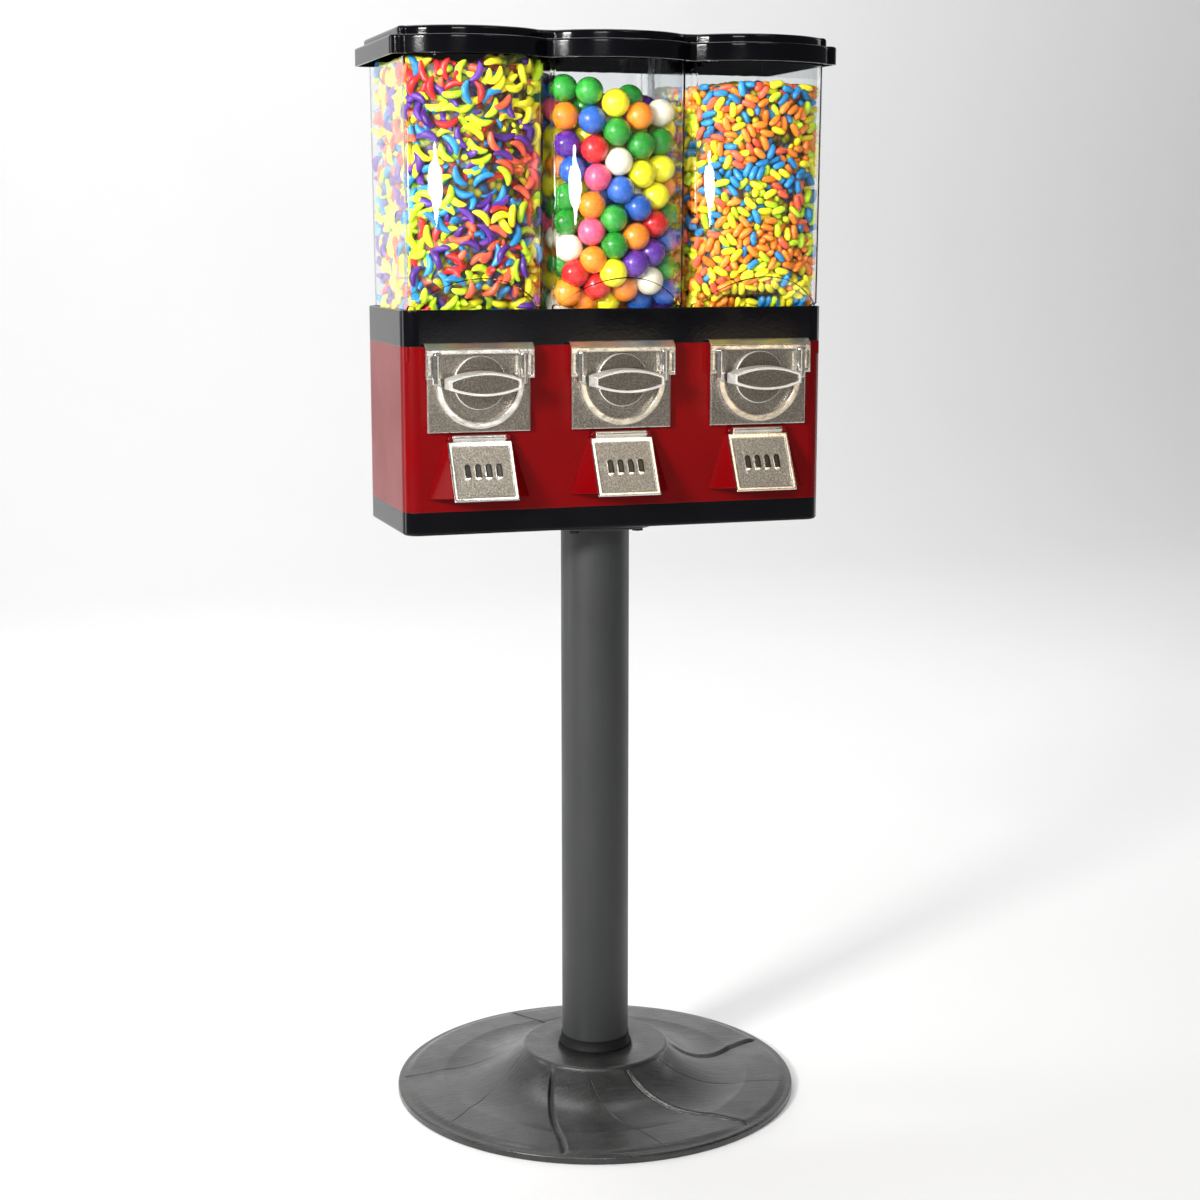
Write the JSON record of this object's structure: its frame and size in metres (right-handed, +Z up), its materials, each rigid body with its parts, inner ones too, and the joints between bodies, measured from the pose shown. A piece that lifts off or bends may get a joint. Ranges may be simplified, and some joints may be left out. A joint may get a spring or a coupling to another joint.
{
  "type": "bulk candy vending machine",
  "caption": "Free-standing candy vendor: clear canisters side by side on a red coin-mechanism head, with chute flaps, on a pole and a round cast foot.",
  "frame": {"origin": "on the floor, centre of the round foot", "axes": "+Z up, the front with handles and flaps faces -Y, +X to the right seen from the front"},
  "size_m": [0.416, 0.39, 1.0096],
  "materials": {
    "foot_iron": "black paint over a brushed, wrinkled casting",
    "pole_paint": "satin dark grey",
    "steel": "zinc plated",
    "black_plastic": "glossy black",
    "red_paint": "deep glossy red",
    "clear_plastic": "clear, glossy",
    "chrome": "bright chrome plate",
    "brass": "plain",
    "candy_left": "mixed bright colours",
    "candy_centre": "mixed bright colours, polished",
    "candy_right": "mixed bright colours, mostly orange"
  },
  "bodies": {
    "stand": {"base_casting": "foot_iron", "base_bolt_set": "steel", "pole_tube": "pole_paint", "pole_plug": "steel", "pole_collar": "pole_paint", "top_flange": "steel", "flange_fasteners": "steel", "base_pan": "black_plastic", "cabinet_shell": "red_paint", "hoods": "red_paint", "canister_tray": "black_plastic", "wheel_wells": "black_plastic", "clamp_fasteners": "steel", "coin_tray": "black_plastic", "lid_straps": "steel", "mech_screws": "steel", "baffles": "black_plastic", "pawls": "steel", "flap_pins": "steel", "door_hinge_pins": "steel", "canister_left": "clear_plastic", "canister_centre": "clear_plastic", "canister_right": "clear_plastic", "candy_left": "candy_left", "candy_centre": "candy_centre", "candy_right": "candy_right", "mech_plate_left": "chrome", "mech_plate_centre": "chrome", "mech_plate_right": "chrome", "mech_housing_left": "steel", "mech_housing_centre": "steel", "mech_housing_right": "steel", "chute_left": "black_plastic", "chute_centre": "black_plastic", "chute_right": "black_plastic"},
    "lid": {"lid": "black_plastic", "lid_lock_bodies": "chrome"},
    "lid_lock_left": {"lid_lock_left": "chrome"},
    "lid_lock_right": {"lid_lock_right": "chrome"},
    "rear_door": {"rear_door": "red_paint"},
    "door_lock": {"door_lock": "chrome"},
    "handle_left": {"handle_left": "chrome", "coin_disc_left": "brass", "pinion_left": "black_plastic"},
    "wheel_left": {"product_wheel_left": "black_plastic", "stirrer_left": "black_plastic"},
    "flap_left": {"flap_left": "chrome"},
    "handle_centre": {"handle_centre": "chrome", "coin_disc_centre": "brass", "pinion_centre": "black_plastic"},
    "wheel_centre": {"product_wheel_centre": "black_plastic", "stirrer_centre": "black_plastic"},
    "flap_centre": {"flap_centre": "chrome"},
    "handle_right": {"handle_right": "chrome", "coin_disc_right": "brass", "pinion_right": "black_plastic"},
    "wheel_right": {"product_wheel_right": "black_plastic", "stirrer_right": "black_plastic"},
    "flap_right": {"flap_right": "chrome"}
  },
  "joints": [
    {"name": "lid_lift", "type": "slide", "parent": "stand", "child": "lid", "axis": [0, 0, 1], "range_m": [0, 0.25]},
    {"name": "lid_lock_left_turn", "type": "hinge", "parent": "lid", "child": "lid_lock_left", "pos_m": [-0.0665, 0.008, 1], "axis": [0, 0, 1], "range_deg": [0, 90]},
    {"name": "lid_lock_right_turn", "type": "hinge", "parent": "lid", "child": "lid_lock_right", "pos_m": [0.0665, 0.008, 1], "axis": [0, 0, 1], "range_deg": [0, 90]},
    {"name": "rear_door_swing", "type": "hinge", "parent": "stand", "child": "rear_door", "pos_m": [-0.166, 0.0795, 0.65], "axis": [0, 0, 1], "range_deg": [0, 110]},
    {"name": "door_lock_turn", "type": "hinge", "parent": "rear_door", "child": "door_lock", "pos_m": [0.142, 0.075, 0.656], "axis": [0, -1, 0], "range_deg": [0, 90]},
    {"name": "handle_left_turn", "type": "hinge", "parent": "stand", "child": "handle_left", "pos_m": [-0.133, -0.085, 0.701], "axis": [0, 1, 0], "continuous": true},
    {"name": "wheel_left_turn", "type": "hinge", "parent": "stand", "child": "wheel_left", "pos_m": [-0.133, 0.004, 0.735], "axis": [0, 0, 1], "continuous": true},
    {"name": "flap_left_swing", "type": "hinge", "parent": "stand", "child": "flap_left", "pos_m": [-0.133, -0.0782, 0.652], "axis": [-1, 0, 0], "range_deg": [0, 62]},
    {"name": "handle_centre_turn", "type": "hinge", "parent": "stand", "child": "handle_centre", "pos_m": [0, -0.085, 0.701], "axis": [0, 1, 0], "continuous": true},
    {"name": "wheel_centre_turn", "type": "hinge", "parent": "stand", "child": "wheel_centre", "pos_m": [0, 0.004, 0.735], "axis": [0, 0, 1], "continuous": true},
    {"name": "flap_centre_swing", "type": "hinge", "parent": "stand", "child": "flap_centre", "pos_m": [0, -0.0782, 0.652], "axis": [-1, 0, 0], "range_deg": [0, 62]},
    {"name": "handle_right_turn", "type": "hinge", "parent": "stand", "child": "handle_right", "pos_m": [0.133, -0.085, 0.701], "axis": [0, 1, 0], "continuous": true},
    {"name": "wheel_right_turn", "type": "hinge", "parent": "stand", "child": "wheel_right", "pos_m": [0.133, 0.004, 0.735], "axis": [0, 0, 1], "continuous": true},
    {"name": "flap_right_swing", "type": "hinge", "parent": "stand", "child": "flap_right", "pos_m": [0.133, -0.0782, 0.652], "axis": [-1, 0, 0], "range_deg": [0, 62]}
  ],
  "couplings": [
    {"joint": "wheel_left_turn", "follows": "handle_left_turn", "ratio": 0.33333},
    {"joint": "wheel_centre_turn", "follows": "handle_centre_turn", "ratio": 0.33333},
    {"joint": "wheel_right_turn", "follows": "handle_right_turn", "ratio": 0.33333}
  ]
}
